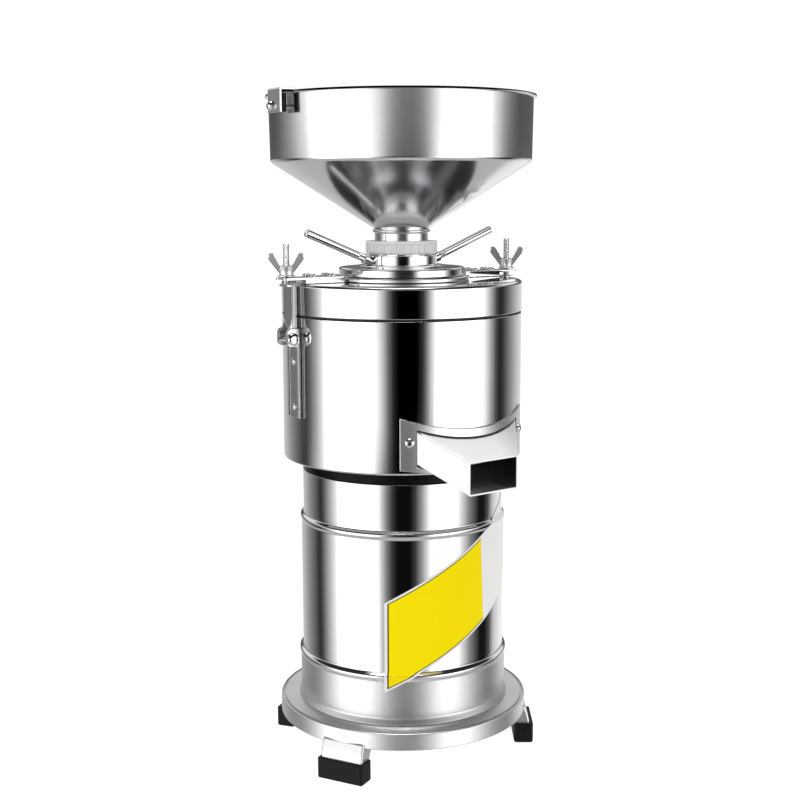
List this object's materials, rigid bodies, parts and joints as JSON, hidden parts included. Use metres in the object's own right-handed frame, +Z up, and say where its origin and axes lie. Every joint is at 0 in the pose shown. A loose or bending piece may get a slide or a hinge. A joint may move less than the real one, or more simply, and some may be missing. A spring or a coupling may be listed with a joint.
{
  "type": "electric peanut and soy mill",
  "caption": "Upright electric stone mill: steel hopper and adjuster over a clamped grinding drum with a spout, on a round motor case with rubber feet.",
  "frame": {"origin": "on the ground, under the middle of the whole outline", "axes": "+Z up along the motor shaft, -Y the way the discharge chute points"},
  "size_m": [0.2824, 0.27, 0.6429],
  "materials": {
    "polished_steel": "mirror polished stainless sheet",
    "chrome": "bright plated",
    "cast_alloy": "satin cast alloy",
    "black_enamel": "gloss black enamel",
    "black_rubber": "dull moulded rubber",
    "white_nylon": "satin white nylon",
    "cast_iron": "plain cast iron",
    "laminated_steel": "stacked motor laminations",
    "copper_wire": "varnished copper wire",
    "bearing_steel": "ground bearing steel",
    "black_plastic": "matt black plastic",
    "red_plastic": "gloss red plastic",
    "abrasive_stone": "rough bonded abrasive",
    "silicone_rubber": "dark silicone rubber",
    "yellow_vinyl": "printed vinyl, bare yellow and white"
  },
  "bodies": {
    "root": {"base_casting": "cast_alloy", "rubber_foot_1": "black_rubber", "rubber_foot_2": "black_rubber", "rubber_foot_3": "black_rubber", "rubber_foot_4": "black_rubber", "motor_case": "polished_steel", "lower_end_bell": "cast_iron", "motor_frame": "cast_alloy", "motor_top_flange": "black_enamel", "lower_bearing": "bearing_steel", "upper_bearing": "bearing_steel", "stator_core": "laminated_steel", "stator_winding": "copper_wire", "run_capacitor": "black_plastic", "switch_frame": "black_plastic", "cable_gland": "black_plastic", "discharge_chute": "polished_steel", "chute_screw_1": "chrome", "chute_screw_2": "chrome", "grinding_drum": "polished_steel", "shaft_seal": "silicone_rubber", "lid_seal_ring": "silicone_rubber", "lid": "polished_steel", "lid_flange": "polished_steel", "threaded_boss": "polished_steel", "clamp_arm_1": "polished_steel", "clamp_arm_2": "polished_steel", "arm_screw_1a": "chrome", "arm_screw_1b": "chrome", "arm_screw_1c": "chrome", "arm_screw_1d": "chrome", "arm_screw_2a": "chrome", "arm_screw_2b": "chrome", "arm_screw_2c": "chrome", "arm_screw_2d": "chrome", "clamp_bracket_1": "polished_steel", "clamp_bracket_2": "polished_steel", "clamp_pivot_1": "chrome", "clamp_pivot_2": "chrome", "case_sticker": "yellow_vinyl"},
    "rotor": {"motor_shaft": "bearing_steel", "rotor_core": "laminated_steel", "cooling_fan": "black_plastic", "lower_stone_carrier": "polished_steel", "lower_stone": "abrasive_stone", "feed_screw": "polished_steel"},
    "adjuster": {"adjusting_collar": "chrome", "adjusting_handle_1": "chrome", "adjusting_handle_2": "chrome"},
    "stone_lift": {"upper_stone_carrier": "polished_steel", "upper_stone": "abrasive_stone", "hopper": "polished_steel", "rim_bracket": "polished_steel"},
    "union_nut": {"union_nut": "white_nylon"},
    "rim_screw": {"rim_screw": "chrome"},
    "swing_bolt_1": {"swing_bolt_1": "polished_steel"},
    "swing_bolt_2": {"swing_bolt_2": "polished_steel"},
    "wing_nut_1": {"wing_nut_1": "chrome"},
    "wing_nut_2": {"wing_nut_2": "chrome"},
    "switch_rocker": {"switch_rocker": "red_plastic"}
  },
  "joints": [
    {"name": "rotor_spin", "type": "hinge", "parent": "root", "child": "rotor", "pos_m": [0.00057, 0.005, 0.15], "axis": [0, 0, 1], "continuous": true},
    {"name": "collar_turn", "type": "hinge", "parent": "root", "child": "adjuster", "pos_m": [0.00057, 0.005, 0.4839], "axis": [0, 0, 1], "range_deg": [-90, 270]},
    {"name": "stone_lift", "type": "slide", "parent": "root", "child": "stone_lift", "axis": [0, 0, 1], "range_m": [-0.00075, 0.00225]},
    {"name": "union_nut_turn", "type": "hinge", "parent": "stone_lift", "child": "union_nut", "pos_m": [0.00057, 0.005, 0.4965], "axis": [0, 0, 1], "continuous": true},
    {"name": "rim_screw_turn", "type": "hinge", "parent": "stone_lift", "child": "rim_screw", "pos_m": [-0.13899, 0.01598, 0.6271], "axis": [-0.9969, 0.0785, 0], "continuous": true},
    {"name": "swing_bolt_1_swing", "type": "hinge", "parent": "root", "child": "swing_bolt_1", "pos_m": [-0.12389, 0.01655, 0.4147], "axis": [-0.0924, -0.9957, 0], "range_deg": [0, 100]},
    {"name": "wing_nut_1_turn", "type": "hinge", "parent": "swing_bolt_1", "child": "wing_nut_1", "pos_m": [-0.12389, 0.01655, 0.48], "axis": [0, 0, 1], "continuous": true},
    {"name": "swing_bolt_2_swing", "type": "hinge", "parent": "root", "child": "swing_bolt_2", "pos_m": [0.12504, -0.00655, 0.4147], "axis": [0.0924, 0.9957, 0], "range_deg": [0, 100]},
    {"name": "wing_nut_2_turn", "type": "hinge", "parent": "swing_bolt_2", "child": "wing_nut_2", "pos_m": [0.12504, -0.00655, 0.48], "axis": [0, 0, 1], "continuous": true},
    {"name": "rocker_press", "type": "hinge", "parent": "root", "child": "switch_rocker", "pos_m": [0.00057, 0.0993, 0.1703], "axis": [-1, 0, 0], "range_deg": [-16, 0]}
  ],
  "couplings": [
    {"joint": "collar_turn", "follows": "stone_lift", "rad_per_m": 2094.4}
  ]
}
